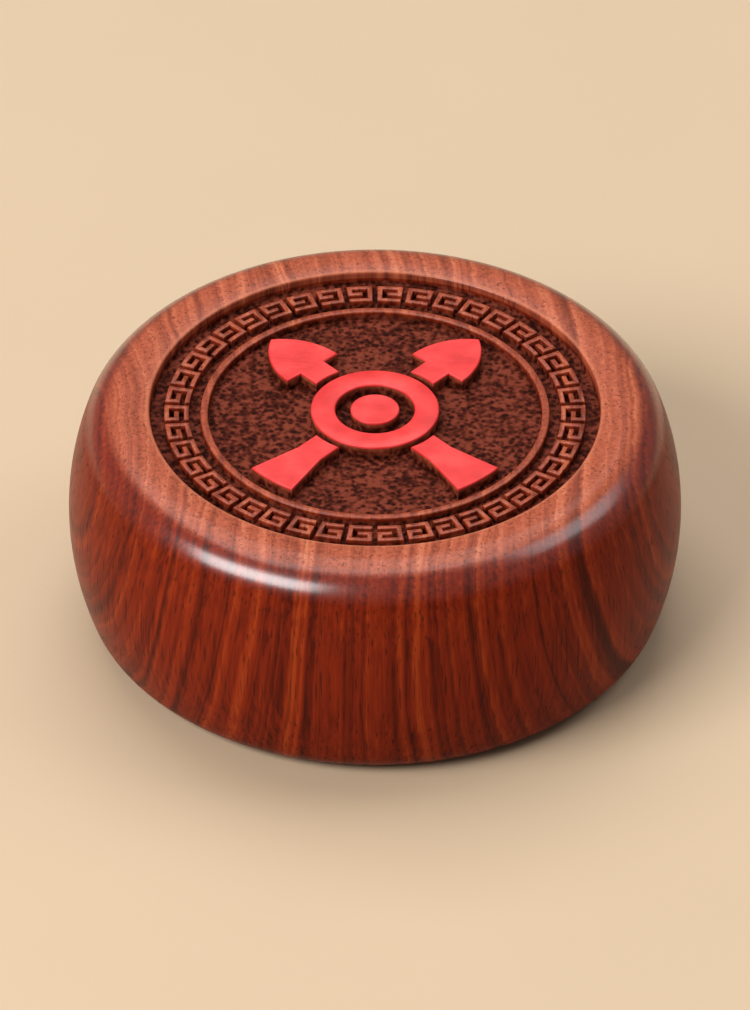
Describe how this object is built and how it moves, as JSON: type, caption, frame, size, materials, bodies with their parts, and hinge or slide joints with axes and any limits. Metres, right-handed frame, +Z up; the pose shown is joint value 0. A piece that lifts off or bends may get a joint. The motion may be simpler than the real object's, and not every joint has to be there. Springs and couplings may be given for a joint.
{
  "type": "xiangqi piece",
  "caption": "Drum-shaped turned rosewood game piece with rounded edges, a sunken face, a raised fret ring and a raised red lacquered emblem of crossed spears and a shield.",
  "frame": {"origin": "centre of the flat base", "axes": "+Z up along the turning axis, out of the carved face; the mark reads upright for a viewer at -Y"},
  "size_m": [0.04, 0.04, 0.016],
  "materials": {
    "rosewood": "red rosewood with dark straight streaks, sanded and waxed to a satin gloss, the sunken ground darkened",
    "red_lacquer": "bright red brushed lacquer, satin gloss"
  },
  "bodies": {
    "root": {"turned_body": "rosewood", "lacquer_spear_left": "red_lacquer", "lacquer_spear_right": "red_lacquer", "lacquer_butt_left": "red_lacquer", "lacquer_butt_right": "red_lacquer", "lacquer_shield_ring": "red_lacquer", "lacquer_shield_boss": "red_lacquer"}
  },
  "joints": []
}
